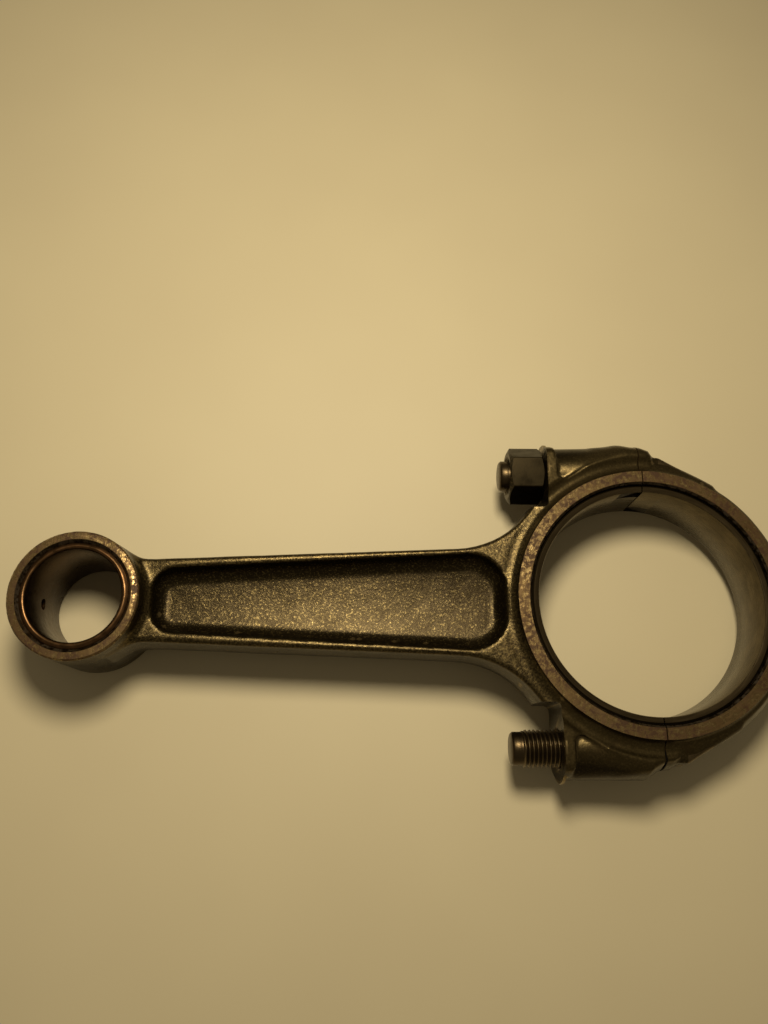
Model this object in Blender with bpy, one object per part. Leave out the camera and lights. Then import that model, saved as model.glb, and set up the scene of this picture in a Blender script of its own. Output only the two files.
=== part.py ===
"""Connecting rod of a small piston engine, assembled with its cap, bearing shells, bush, bolts and one nut.

The rod lies on its side: +X runs from the small end to the big end, and both bores stand along Z.
Shapes are drawn in rod coordinates, with the small end's bore axis at x = y = 0 and z = 0 half way
through the thickness, and place() puts them in the world, where the origin is the centre of the base.
"""

import math

import bmesh
import bpy
from mathutils import Matrix, Vector

MM = 0.001

# Driving dimensions
CENTRE_DISTANCE = 137.0 * MM
PIECE_GAP = 0.3 * MM

EYE_RADIUS = 15.4 * MM
EYE_HALF_WIDTH = 12.35 * MM
EYE_EDGE_CHAMFER = 0.6 * MM
EYE_BORE_CHAMFER = 0.5 * MM
BUSH_BORE_RADIUS = 11.0 * MM
BUSH_OUTER_RADIUS = 12.3 * MM
BUSH_HALF_WIDTH = 12.15 * MM
BUSH_BORE_CHAMFER = 0.6 * MM
BUSH_EDGE_CHAMFER = 0.3 * MM
OIL_HOLE_RADIUS = 1.4 * MM

SHANK_HALF_HEIGHT_AT_EYE = 10.95 * MM
SHANK_HALF_HEIGHT_AT_BIG_END = 14.4 * MM
SHANK_END_X = 101.0 * MM
NECK_START = Vector((7.4 * MM, 13.47 * MM))
NECK_END_X = 11.8 * MM
NECK_RADIUS = 13.5 * MM
FLARE_SLOPE = math.radians(52)
FLARE_RADIUS = 23.0 * MM
FLANGE_HALF_THICKNESS = 7.0 * MM
WEB_HALF_THICKNESS = 2.25 * MM
POCKET_START_X = 16.8 * MM
POCKET_END_X = 102.0 * MM
POCKET_HALF_HEIGHT_AT_EYE = 7.5 * MM
POCKET_HALF_HEIGHT_AT_BIG_END = 12.1 * MM
POCKET_RADIUS_AT_EYE = 5.5 * MM
POCKET_RADIUS_AT_BIG_END = 9.0 * MM

SHELL_BORE_RADIUS = 27.4 * MM
SHELL_THICKNESS = 1.65 * MM
SHELL_HALF_WIDTH = 8.35 * MM
SHELL_BORE_CHAMFER = 0.35 * MM
HOUSING_CHAMFER = 0.55 * MM
RING_HALF_WIDTH = 9.4 * MM
RING_WALL_RADIUS = 36.3 * MM

BOLT_OFFSET = 34.2 * MM
BOLT_THREAD_RADIUS = 4.4 * MM
BOLT_SHANK_RADIUS = 4.15 * MM
BOLT_POINT_RADIUS = 3.9 * MM
BOLT_TIP_X = 102.4 * MM
BOLT_THREAD_START_X = 105.1 * MM
BOLT_THREAD_END_X = 114.0 * MM
BOLT_TIP_CHAMFER = 0.5 * MM
BOSS_INNER_Y = 23.0 * MM
BOSS_OUTER_Y = 41.5 * MM
BOSS_HALF_WIDTH = 8.0 * MM
NUT_SEAT_X = 113.6 * MM
NUT_SEAT_FLOOR_Y = 23.8 * MM
NUT_SEAT_FILLET = 1.5 * MM
NUT_SEAT_COUNTERSINK = 0.8 * MM
SEAT_COLLAR_RADIUS = 8.2 * MM
SEAT_COLLAR_DEPTH = 1.0 * MM
SHOULDER_TOP = Vector((141.0 * MM, 41.2 * MM))
SHOULDER_TOP_RADIUS = 3.0 * MM
SHOULDER_KNEE = Vector((143.7 * MM, 37.9 * MM))
SHOULDER_END = Vector((156.0 * MM, 30.6 * MM))
HEAD_SEAT_X = 142.4 * MM
HEAD_END_X = 149.0 * MM
HEAD_HALF_WIDTH = 6.3 * MM
HEAD_INNER_Y = 30.0 * MM
HEAD_OUTER_Y = 38.3 * MM
HEAD_END_OUTER_Y = 33.4 * MM
HEAD_ROUNDING = 0.6 * MM
HEAD_EDGE_CHAMFER = 0.4 * MM

NUT_ACROSS_FLATS = 13.0 * MM
NUT_HEIGHT = 8.7 * MM
NUT_CLOCKING = math.radians(21.7)
NUT_CHAMFER_START = 0.35 * MM
NUT_CHAMFER_ANGLE = math.radians(30)
NUT_BORE_CHAMFER = 0.5 * MM

TANG_LENGTH = 3.4 * MM
TANG_DEPTH = 1.15 * MM
TANG_WIDTH = 3.1 * MM
TANG_CENTRE_Z = 5.75 * MM
TANG_HOLLOW_LENGTH = 6.0 * MM
TANG_HOLLOW_WALL = 0.2 * MM
TANG_HOLLOW_SHALLOW = -0.8 * MM
TANG_HOLLOW_DEEP = 0.9 * MM

# Derived dimensions
SHELL_OUTER_RADIUS = SHELL_BORE_RADIUS + SHELL_THICKNESS
HOUSING_RADIUS = SHELL_OUTER_RADIUS + PIECE_GAP
EYE_BORE_RADIUS = BUSH_OUTER_RADIUS + PIECE_GAP
BOLT_HOLE_RADIUS = BOLT_SHANK_RADIUS + PIECE_GAP
ROD_FACE_X = CENTRE_DISTANCE - PIECE_GAP / 2
CAP_FACE_X = CENTRE_DISTANCE + PIECE_GAP / 2
NUT_END_X = NUT_SEAT_X - PIECE_GAP
LENGTH = EYE_RADIUS + CENTRE_DISTANCE + RING_WALL_RADIUS
WORLD_FROM_ROD = Vector((EYE_RADIUS - LENGTH / 2, 0, EYE_HALF_WIDTH))

BEYOND = 1.0 * MM  # how far a cutter reaches past the surface that it opens
BURIED = 5.0 * MM  # how far a solid runs on inside the one that it joins
LARGE = 100.0 * MM
ROUND_STEPS = 80
BOLT_STEPS = 36
NUT_STEPS = 72
COLLAR_STEPS = 40
OIL_HOLE_STEPS = 24
ARC_STEP = math.radians(12)
SMOOTH_ANGLE = math.radians(28)

# How each forged edge rounds off, in millimetres: (drop below the face, inward offset of the outline)
FLANGE_EDGE = [(0.0, 1.7), (0.25, 1.15), (0.9, 0.75), (2.5, 0.45), (6.4, 0.0)]
BOSS_EDGE = [(0.0, 2.7), (1.0, 1.8), (3.0, 0.9), (5.0, 0.2), (6.8, 0.0)]
RING_EDGE = [(0.0, 3.75), (0.3, 3.4), (0.9, 3.0), (1.5, 2.45), (3.4, 1.4), (5.9, 0.3), (8.6, 0.0)]
# The same for the pocket's wall, as (rise above the web, inward offset)
POCKET_EDGE = [(0.0, 2.6), (0.35, 1.7), (1.25, 0.95), (3.75, 0.4), (5.05, 0.0)]


def rounded(corners):
    """Polygon points from (x, y, corner radius) corners; each radius becomes an arc."""
    points = []
    for i, (x, y, radius) in enumerate(corners):
        corner = Vector((x, y))
        if radius == 0:
            points.append(corner)
            continue
        before = (Vector(corners[i - 1][:2]) - corner).normalized()
        after = (Vector(corners[(i + 1) % len(corners)][:2]) - corner).normalized()
        half_angle = before.angle(after) / 2
        centre = corner + (before + after).normalized() * (radius / math.sin(half_angle))
        first = corner + before * (radius / math.tan(half_angle)) - centre
        last = corner + after * (radius / math.tan(half_angle)) - centre
        sweep = first.angle_signed(last)
        steps = max(2, math.ceil(abs(sweep) / ARC_STEP))
        for step in range(steps + 1):
            turn = Matrix.Rotation(-sweep * step / steps, 2)
            points.append(centre + turn @ first)
    return points


def mirrored(upper_corners):
    """Closed corner list, anticlockwise, from the corners above the rod's centre line, small end first."""
    lower = [(x, -y, radius) for x, y, radius in upper_corners]
    return lower + upper_corners[::-1]


def inset(points, distance):
    """The anticlockwise outline moved inwards by a distance."""
    moved = []
    for i, point in enumerate(points):
        along = (point - points[i - 1]).normalized()
        onward = (points[(i + 1) % len(points)] - point).normalized()
        inward = Vector((-along.y, along.x)) + Vector((-onward.y, onward.x))
        moved.append(point + inward * (2 * distance / inward.length_squared))
    return moved


def mesh_object(name, shape):
    bmesh.ops.recalc_face_normals(shape, faces=shape.faces)
    mesh = bpy.data.meshes.new(name)
    shape.to_mesh(mesh)
    shape.free()
    created = bpy.data.objects.new(name, mesh)
    bpy.context.collection.objects.link(created)
    return created


def stacked(name, outline, levels):
    """A solid through copies of the outline, each at a height and moved inwards by an offset."""
    shape = bmesh.new()
    loops = []
    for height, offset in levels:
        points = inset(outline, offset)
        loops.append([shape.verts.new((p.x, p.y, height)) for p in points])
    shape.faces.new(loops[0][::-1])
    shape.faces.new(loops[-1])
    for lower, upper in zip(loops, loops[1:]):
        for i in range(len(outline)):
            j = (i + 1) % len(outline)
            shape.faces.new((lower[i], lower[j], upper[j], upper[i]))
    return mesh_object(name, shape)


def below_face(half_thickness, edge):
    """(height, inward offset) levels of a rounded edge, from one face through the mid-plane to the other."""
    upper = [(half_thickness - drop * MM, offset * MM) for drop, offset in edge]
    return [(-height, offset) for height, offset in upper] + upper[::-1]


def turned(name, profile, steps=ROUND_STEPS, along_x=False):
    """A solid of revolution from (radius, height) points; points on the axis close its ends."""
    shape = bmesh.new()
    rings = []
    for radius, height in profile:
        if radius == 0:
            rings.append([shape.verts.new((0, 0, height))] * steps)
            continue
        angles = [2 * math.pi * step / steps for step in range(steps)]
        rings.append([shape.verts.new((radius * math.cos(a), radius * math.sin(a), height)) for a in angles])
    closes_on_axis = profile[0][0] == 0
    pairs = list(zip(rings, rings[1:])) + ([] if closes_on_axis else [(rings[-1], rings[0])])
    for lower, upper in pairs:
        for i in range(steps):
            j = (i + 1) % steps
            corners = dict.fromkeys((lower[i], lower[j], upper[j], upper[i]))
            shape.faces.new(list(corners))
    if along_x:
        bmesh.ops.rotate(shape, verts=shape.verts, matrix=Matrix.Rotation(math.pi / 2, 3, "Y"))
    return mesh_object(name, shape)


def symmetric_profile(upper):
    """A (radius, height) profile listed from the inside outwards, repeated below the mid-plane."""
    return [(radius, -height) for radius, height in upper] + upper[::-1]


def chamfered_tube(inner, outer, half_width, inner_chamfer, outer_chamfer):
    """Profile of a tube whose four rims have 45 degree chamfers."""
    upper = [
        (inner, half_width - inner_chamfer),
        (inner + inner_chamfer, half_width),
        (outer - outer_chamfer, half_width),
        (outer, half_width - outer_chamfer),
    ]
    return [(radius, -height) for radius, height in upper] + upper[::-1]


def box(name, low, high):
    corners = [(low[0], low[1]), (high[0], low[1]), (high[0], high[1]), (low[0], high[1])]
    outline = [Vector(corner) for corner in corners]
    return stacked(name, outline, [(low[2], 0), (high[2], 0)])


def moved(target, x=0.0, y=0.0, z=0.0):
    target.data.transform(Matrix.Translation((x, y, z)))
    return target


def combine(target, other, operation):
    """Applies a Boolean of the target with a helper, and removes the helper."""
    modifier = target.modifiers.new(operation.title(), "BOOLEAN")
    modifier.operation = operation
    modifier.solver = "EXACT"
    modifier.object = other
    evaluated = target.evaluated_get(bpy.context.evaluated_depsgraph_get())
    result = bpy.data.meshes.new_from_object(evaluated)
    target.modifiers.clear()
    spent = [target.data, other.data]
    target.data = result
    bpy.data.objects.remove(other)
    for mesh in spent:
        bpy.data.meshes.remove(mesh)


def join(target, *others):
    for other in others:
        combine(target, other, "UNION")


def cut(target, *others):
    for other in others:
        combine(target, other, "DIFFERENCE")


def steel(name, colour, roughness, metallic=1.0):
    material = bpy.data.materials.new(name)
    material.use_nodes = True
    shader = material.node_tree.nodes["Principled BSDF"]
    shader.inputs["Base Color"].default_value = (*colour, 1)
    shader.inputs["Roughness"].default_value = roughness
    shader.inputs["Metallic"].default_value = metallic
    return material


def place(piece, name, material, axis_point=(0.0, 0.0, 0.0)):
    """Names a finished piece, puts its origin on a point and moves it from rod to world coordinates."""
    piece.name = name
    piece.data.name = name
    piece.data.materials.clear()
    piece.data.materials.append(material)
    piece.data.transform(Matrix.Translation(-Vector(axis_point)))
    piece.location = Vector(axis_point) + WORLD_FROM_ROD
    piece.data.shade_smooth()
    piece.data.set_sharp_from_angle(angle=SMOOTH_ANGLE)


def big_end_blank():
    """The ring of the big end before boring: a narrow machined face and a wall that flares below it."""
    half = [(RING_WALL_RADIUS - offset, height) for height, offset in below_face(RING_HALF_WIDTH, RING_EDGE)]
    return moved(turned("ring", [(0, -RING_HALF_WIDTH)] + half + [(0, RING_HALF_WIDTH)]), x=CENTRE_DISTANCE)


def bore_cutter(radius, half_width, chamfer):
    """A cutter for a through bore with a 45 degree chamfer at each face."""
    wide = radius + chamfer + BEYOND
    high = half_width + BEYOND
    mouth = half_width - chamfer
    profile = [(0, -high), (wide, -high), (radius, -mouth), (radius, mouth), (wide, high), (0, high)]
    return turned("bore", profile)


def housing_cutter():
    return moved(bore_cutter(HOUSING_RADIUS, RING_HALF_WIDTH, HOUSING_CHAMFER), x=CENTRE_DISTANCE)


def bolt_hole_cutter(side):
    """A through hole for one bolt, with a countersunk mouth at the nut seat."""
    mouth = NUT_SEAT_X - NUT_SEAT_COUNTERSINK
    profile = [
        (0, mouth),
        (BOLT_HOLE_RADIUS + 2 * NUT_SEAT_COUNTERSINK, mouth),
        (BOLT_HOLE_RADIUS, NUT_SEAT_X + NUT_SEAT_COUNTERSINK),
        (BOLT_HOLE_RADIUS, HEAD_SEAT_X + BEYOND),
        (0, HEAD_SEAT_X + BEYOND),
    ]
    return moved(turned("bolt_hole", profile, BOLT_STEPS, along_x=True), y=side * BOLT_OFFSET)


def tang_block(side, start_x, end_x, clearance):
    """The block of a bearing shell's locating tang, or with a clearance, the notch that it sits in."""
    low_z = side * TANG_CENTRE_Z - TANG_WIDTH / 2 - clearance
    high_z = side * TANG_CENTRE_Z + TANG_WIDTH / 2 + clearance
    top_y = SHELL_OUTER_RADIUS + TANG_DEPTH + clearance
    return box("tang", (start_x, SHELL_BORE_RADIUS + BEYOND, low_z), (end_x, top_y, high_z))


def shank_outline():
    """Plan of the shank: a concave neck at the eye, a slow taper, and a concave flare into the big end."""
    flare_x = SHANK_END_X + (HOUSING_RADIUS - SHANK_HALF_HEIGHT_AT_BIG_END) / math.tan(FLARE_SLOPE)
    upper = [
        (NECK_START.x / 2, NECK_START.y - 2 * MM, 0),
        (*NECK_START, 0),
        (NECK_END_X, SHANK_HALF_HEIGHT_AT_EYE, NECK_RADIUS),
        (SHANK_END_X, SHANK_HALF_HEIGHT_AT_BIG_END, FLARE_RADIUS),
        (flare_x, HOUSING_RADIUS, 0),
        (CENTRE_DISTANCE + BURIED, HOUSING_RADIUS, 0),
    ]
    return rounded(mirrored(upper))


def pocket_outline():
    near = (POCKET_START_X, POCKET_HALF_HEIGHT_AT_EYE, POCKET_RADIUS_AT_EYE)
    far = (POCKET_END_X, POCKET_HALF_HEIGHT_AT_BIG_END, POCKET_RADIUS_AT_BIG_END)
    return rounded(mirrored([near, far]))


def pocket_cutter(side):
    levels = [(WEB_HALF_THICKNESS + rise * MM, offset * MM) for rise, offset in POCKET_EDGE]
    cutter = stacked("pocket", pocket_outline(), levels)
    if side < 0:
        cutter.data.transform(Matrix.Rotation(math.pi, 4, "X"))
    return cutter


def bolt_boss(side):
    """The block beside the big end that one bolt passes through, with a raised collar at its nut seat."""
    start_x = NUT_SEAT_X - BURIED
    end_x = CENTRE_DISTANCE + BURIED
    corners = [
        (start_x, BOSS_INNER_Y),
        (end_x, BOSS_INNER_Y),
        (end_x, BOSS_OUTER_Y),
        (start_x, BOSS_OUTER_Y),
    ]
    boss = stacked("boss", [Vector(corner) for corner in corners], below_face(BOSS_HALF_WIDTH, BOSS_EDGE))
    collar_start = NUT_SEAT_X - BEYOND
    collar_end = NUT_SEAT_X + SEAT_COLLAR_DEPTH
    profile = [
        (0, collar_start),
        (SEAT_COLLAR_RADIUS, collar_start),
        (SEAT_COLLAR_RADIUS, collar_end),
        (0, collar_end),
    ]
    collar = turned("collar", profile, COLLAR_STEPS, along_x=True)
    if side < 0:
        boss.data.transform(Matrix.Rotation(math.pi, 4, "X"))
    join(boss, moved(collar, y=side * BOLT_OFFSET))
    return boss


def nut_seat_cutter(side):
    """Clears the flat that the nut sits on, with a small fillet where the tool stops."""
    outer = BOSS_OUTER_Y + BURIED
    start_x = NUT_SEAT_X - 4 * BURIED
    corners = [
        (start_x, NUT_SEAT_FLOOR_Y, 0),
        (NUT_SEAT_X, NUT_SEAT_FLOOR_Y, NUT_SEAT_FILLET),
        (NUT_SEAT_X, outer, 0),
        (start_x, outer, 0),
    ]
    half_width = BOSS_HALF_WIDTH + BURIED
    cutter = stacked("nut_seat", rounded(corners), [(-half_width, 0), (half_width, 0)])
    if side < 0:
        cutter.data.transform(Matrix.Rotation(math.pi, 4, "X"))
    return cutter


def oil_hole_cutter():
    start, end = -EYE_RADIUS - BEYOND, -BUSH_BORE_RADIUS + BEYOND
    profile = [(0, start), (OIL_HOLE_RADIUS, start), (OIL_HOLE_RADIUS, end), (0, end)]
    return turned("oil_hole", profile, OIL_HOLE_STEPS, along_x=True)


def make_rod_body(material):
    rod = stacked("rod", shank_outline(), below_face(FLANGE_HALF_THICKNESS, FLANGE_EDGE))
    eye_rim = [
        (0, EYE_HALF_WIDTH),
        (EYE_RADIUS - EYE_EDGE_CHAMFER, EYE_HALF_WIDTH),
        (EYE_RADIUS, EYE_HALF_WIDTH - EYE_EDGE_CHAMFER),
    ]
    join(rod, turned("eye", symmetric_profile(eye_rim)), big_end_blank(), bolt_boss(1), bolt_boss(-1))
    cut(rod, box("cap_side", (ROD_FACE_X, -LARGE, -LARGE), (3 * LARGE, LARGE, LARGE)))
    cut(rod, housing_cutter(), bore_cutter(EYE_BORE_RADIUS, EYE_HALF_WIDTH, EYE_BORE_CHAMFER))
    cut(rod, pocket_cutter(1), pocket_cutter(-1), nut_seat_cutter(1), nut_seat_cutter(-1))
    cut(rod, bolt_hole_cutter(1), bolt_hole_cutter(-1), oil_hole_cutter())
    cut(rod, tang_block(1, ROD_FACE_X - TANG_LENGTH - PIECE_GAP, ROD_FACE_X + BEYOND, PIECE_GAP))
    place(rod, "rod_body", material)


def cap_shoulders():
    """The two shoulders that carry the bolt heads, sloping off to the ring's wall."""
    upper = [
        (CENTRE_DISTANCE - BURIED, BOSS_OUTER_Y, 0),
        (*SHOULDER_TOP, SHOULDER_TOP_RADIUS),
        (*SHOULDER_KNEE, 1 * MM),
        (*SHOULDER_END, 0),
    ]
    return stacked("shoulders", rounded(mirrored(upper)), below_face(BOSS_HALF_WIDTH, BOSS_EDGE))


def head_pocket_cutter(side):
    """Clears the seat of one bolt head, open towards the outside of the cap."""
    low_y = HEAD_INNER_Y - PIECE_GAP
    half_width = HEAD_HALF_WIDTH + PIECE_GAP
    end_x = HEAD_END_X + PIECE_GAP
    edges = sorted((side * low_y, side * LARGE))
    return box("head_pocket", (HEAD_SEAT_X, edges[0], -half_width), (end_x, edges[1], half_width))


def make_cap(material):
    cap = big_end_blank()
    join(cap, cap_shoulders())
    cut(cap, box("rod_side", (-LARGE, -LARGE, -LARGE), (CAP_FACE_X, LARGE, LARGE)))
    cut(cap, housing_cutter(), bolt_hole_cutter(1), bolt_hole_cutter(-1))
    cut(cap, head_pocket_cutter(1), head_pocket_cutter(-1))
    cut(cap, tang_block(-1, CAP_FACE_X - BEYOND, CAP_FACE_X + TANG_LENGTH + PIECE_GAP, PIECE_GAP))
    place(cap, "big_end_cap", material, (CENTRE_DISTANCE, 0, 0))


def make_bush(material):
    sizes = (BUSH_BORE_RADIUS, BUSH_OUTER_RADIUS, BUSH_HALF_WIDTH)
    bush = turned("bush", chamfered_tube(*sizes, BUSH_BORE_CHAMFER, BUSH_EDGE_CHAMFER))
    cut(bush, oil_hole_cutter())
    place(bush, "small_end_bush", material)


def tang_hollow_cutter(side, face_x):
    """A slanting wedge that hollows the tang from the bore side, deepest at the parting face."""
    inner_x = face_x + side * TANG_HOLLOW_LENGTH
    outer_x = face_x - side * BEYOND
    corners = [
        (inner_x, SHELL_BORE_RADIUS + TANG_HOLLOW_SHALLOW),
        (outer_x, SHELL_BORE_RADIUS + TANG_HOLLOW_DEEP),
        (outer_x, SHELL_BORE_RADIUS - 2 * BEYOND),
        (inner_x, SHELL_BORE_RADIUS - 2 * BEYOND),
    ]
    outline = [Vector(corner) for corner in corners[::side]]
    half_width = TANG_WIDTH / 2 - TANG_HOLLOW_WALL
    centre_z = -side * TANG_CENTRE_Z
    return stacked("hollow", outline, [(centre_z - half_width, 0), (centre_z + half_width, 0)])


def make_shell(side, name, material):
    """One bearing shell: side -1 sits in the rod and 1 in the cap, each with a tang at the parting face."""
    profile = chamfered_tube(SHELL_BORE_RADIUS, SHELL_OUTER_RADIUS, SHELL_HALF_WIDTH, SHELL_BORE_CHAMFER, 0)
    shell = moved(turned("shell", list(dict.fromkeys(profile))), x=CENTRE_DISTANCE)
    face_x = ROD_FACE_X if side < 0 else CAP_FACE_X
    ends = sorted((face_x, face_x + side * TANG_LENGTH))
    join(shell, tang_block(-side, ends[0], ends[1], 0))
    limits = sorted((face_x, face_x - side * LARGE))
    cut(shell, box("other_half", (limits[0], -LARGE, -LARGE), (limits[1], LARGE, LARGE)))
    cut(shell, tang_hollow_cutter(side, face_x))
    place(shell, name, material, (CENTRE_DISTANCE, 0, 0))


def make_bolt(side, name, material):
    """A rod bolt with a plain dog point, a thread, a waisted shank and a head trimmed to the cap's slope."""
    head_start = HEAD_SEAT_X + PIECE_GAP
    relief = BOLT_THREAD_RADIUS - BOLT_POINT_RADIUS
    profile = [
        (0, BOLT_TIP_X),
        (BOLT_POINT_RADIUS - BOLT_TIP_CHAMFER, BOLT_TIP_X),
        (BOLT_POINT_RADIUS, BOLT_TIP_X + BOLT_TIP_CHAMFER),
        (BOLT_POINT_RADIUS, BOLT_THREAD_START_X - relief),
        (BOLT_THREAD_RADIUS, BOLT_THREAD_START_X),
        (BOLT_THREAD_RADIUS, BOLT_THREAD_END_X),
        (BOLT_SHANK_RADIUS, BOLT_THREAD_END_X + PIECE_GAP),
        (BOLT_SHANK_RADIUS, head_start + BEYOND),
        (0, head_start + BEYOND),
    ]
    bolt = moved(turned("bolt", profile, BOLT_STEPS, along_x=True), y=BOLT_OFFSET)
    corners = [
        (head_start, HEAD_INNER_Y, 0),
        (HEAD_END_X, HEAD_INNER_Y, HEAD_ROUNDING),
        (HEAD_END_X, HEAD_END_OUTER_Y, HEAD_ROUNDING),
        (head_start + HEAD_ROUNDING, HEAD_OUTER_Y - 2 * HEAD_ROUNDING, HEAD_ROUNDING),
        (head_start, HEAD_OUTER_Y, 0),
    ]
    levels = below_face(HEAD_HALF_WIDTH, [(0, HEAD_EDGE_CHAMFER / MM), (HEAD_EDGE_CHAMFER / MM, 0)])
    join(bolt, stacked("head", rounded(corners), levels))
    if side < 0:
        bolt.data.transform(Matrix.Rotation(math.pi, 4, "X"))
    place(bolt, name, material, (NUT_SEAT_X, side * BOLT_OFFSET, 0))


def nut_envelope(start, corner_radius):
    """The turned shape whose chamfers round off the corners of the hexagon at both ends."""
    flat_radius = NUT_ACROSS_FLATS / 2 - NUT_CHAMFER_START
    wide = corner_radius + BEYOND
    fall = (wide - flat_radius) * math.tan(NUT_CHAMFER_ANGLE)
    profile = [
        (0, start),
        (flat_radius, start),
        (wide, start + fall),
        (wide, NUT_END_X - fall),
        (flat_radius, NUT_END_X),
        (0, NUT_END_X),
    ]
    return turned("envelope", profile, NUT_STEPS, along_x=True)


def make_nut(material):
    """A plain hexagon nut, chamfered at both ends, on the upper bolt's thread."""
    start = NUT_END_X - NUT_HEIGHT
    corner_radius = NUT_ACROSS_FLATS / math.sqrt(3)
    angles = [NUT_CLOCKING + i * math.pi / 3 for i in range(6)]
    hexagon = [Vector((corner_radius * math.cos(a), corner_radius * math.sin(a))) for a in angles]
    nut = stacked("nut", hexagon, [(start - BEYOND, 0), (NUT_END_X + BEYOND, 0)])
    nut.data.transform(Matrix.Rotation(math.pi / 2, 4, "Y"))
    combine(nut, nut_envelope(start, corner_radius), "INTERSECT")
    bore = BOLT_THREAD_RADIUS + PIECE_GAP
    wide = bore + NUT_BORE_CHAMFER + BEYOND
    profile = [
        (0, start - BEYOND),
        (wide, start - BEYOND),
        (bore, start + NUT_BORE_CHAMFER),
        (bore, NUT_END_X - NUT_BORE_CHAMFER),
        (wide, NUT_END_X + BEYOND),
        (0, NUT_END_X + BEYOND),
    ]
    cut(nut, turned("nut_bore", profile, BOLT_STEPS, along_x=True))
    moved(nut, y=BOLT_OFFSET)
    place(nut, "rod_nut", material, (NUT_SEAT_X, BOLT_OFFSET, 0))


def main():
    for leftover in list(bpy.data.objects):
        bpy.data.objects.remove(leftover)
    forged_steel = steel("forged_steel", (0.16, 0.12, 0.075), 0.5)
    bearing_metal = steel("bearing_metal", (0.42, 0.37, 0.29), 0.42)
    bush_bronze = steel("bush_bronze", (0.36, 0.2, 0.1), 0.38)
    bolt_steel = steel("bolt_steel", (0.32, 0.27, 0.2), 0.36)
    black_oxide = steel("black_oxide", (0.035, 0.034, 0.03), 0.4)
    make_rod_body(forged_steel)
    make_cap(forged_steel)
    make_bush(bush_bronze)
    make_shell(-1, "rod_bearing_shell", bearing_metal)
    make_shell(1, "cap_bearing_shell", bearing_metal)
    make_bolt(1, "upper_rod_bolt", bolt_steel)
    make_bolt(-1, "lower_rod_bolt", bolt_steel)
    make_nut(black_oxide)


main()
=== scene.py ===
"""Looks of a piston engine's connecting rod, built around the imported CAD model.

Shapes are drawn in millimetres in rod coordinates: the small end's bore axis at x = y = 0, +X towards the
big end, z = 0 half way through the thickness. PLACE then puts them in the frame, in metres.
The two forgings are smooth blends of simple solids, sampled on a grid, and then machined by cutters.
"""

import math

import bmesh
import bpy
import numpy as np
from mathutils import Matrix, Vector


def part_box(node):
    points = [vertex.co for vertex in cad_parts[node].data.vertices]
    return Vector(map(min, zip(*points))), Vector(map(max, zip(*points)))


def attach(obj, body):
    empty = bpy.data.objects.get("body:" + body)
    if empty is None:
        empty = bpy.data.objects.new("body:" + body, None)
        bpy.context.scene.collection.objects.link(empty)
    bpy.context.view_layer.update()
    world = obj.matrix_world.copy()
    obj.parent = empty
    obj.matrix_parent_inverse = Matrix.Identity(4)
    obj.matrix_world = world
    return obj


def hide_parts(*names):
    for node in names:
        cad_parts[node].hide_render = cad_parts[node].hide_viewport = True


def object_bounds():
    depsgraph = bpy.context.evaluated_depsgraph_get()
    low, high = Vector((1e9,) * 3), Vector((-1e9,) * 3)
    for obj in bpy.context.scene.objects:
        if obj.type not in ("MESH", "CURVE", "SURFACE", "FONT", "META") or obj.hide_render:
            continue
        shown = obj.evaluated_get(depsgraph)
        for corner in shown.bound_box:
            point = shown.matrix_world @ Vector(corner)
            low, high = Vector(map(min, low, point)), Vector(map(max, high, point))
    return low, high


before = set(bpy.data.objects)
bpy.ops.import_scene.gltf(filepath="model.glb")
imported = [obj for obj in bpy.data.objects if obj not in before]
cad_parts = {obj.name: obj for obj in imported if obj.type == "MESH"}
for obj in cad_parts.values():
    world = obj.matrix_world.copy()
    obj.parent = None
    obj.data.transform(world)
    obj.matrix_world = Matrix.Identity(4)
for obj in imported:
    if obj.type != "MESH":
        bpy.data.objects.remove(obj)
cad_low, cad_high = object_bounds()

import openvdb
from mathutils import Matrix, Vector

MM = 0.001

# Where things are, from the frame
bush_low, bush_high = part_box("small_end_bush")
ring_low, ring_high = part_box("rod_bearing_shell")
cap_shell_low, cap_shell_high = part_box("cap_bearing_shell")
nut_low, nut_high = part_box("rod_nut")
bolt_low, bolt_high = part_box("upper_rod_bolt")
rod_low, rod_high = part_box("rod_body")
SMALL_END = (bush_low + bush_high) / 2
PLACE = Matrix.Translation(SMALL_END) @ Matrix.Scale(MM, 4)
BIG_END_X = ((ring_high.x + cap_shell_low.x) / 2 - SMALL_END.x) / MM
PIECE_GAP = (cap_shell_low.x - ring_high.x) / MM
ROD_FACE_X = BIG_END_X - PIECE_GAP / 2
CAP_FACE_X = BIG_END_X + PIECE_GAP / 2
EYE_HALF_WIDTH = (rod_high.z - rod_low.z) / 2 / MM
BUSH_HALF_WIDTH = (bush_high.z - bush_low.z) / 2 / MM
SHELL_HALF_WIDTH = (ring_high.z - ring_low.z) / 2 / MM
NUT_END_X = (nut_high.x - SMALL_END.x) / MM
NUT_START_X = (nut_low.x - SMALL_END.x) / MM
NUT_SEAT_X = NUT_END_X + PIECE_GAP
BOLT_OFFSET = ((nut_low.y + nut_high.y) / 2) / MM
BOLT_TIP_X = (bolt_low.x - SMALL_END.x) / MM
HEAD_END_X = (bolt_high.x - SMALL_END.x) / MM

# Sizes in millimetres
VOXEL = 0.4
EYE_RADIUS = 15.32
EYE_BORE_RADIUS = 12.6
BUSH_BORE_RADIUS = 11.0
BUSH_OUTER_RADIUS = 12.55
OIL_HOLE_RADIUS = 1.4
SHELL_BORE_RADIUS = 27.4
SHELL_OUTER_RADIUS = 29.3
HOUSING_RADIUS = 29.35
RING_HALF_WIDTH = 9.4
FORGING_ALLOWANCE = 0.6
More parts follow.
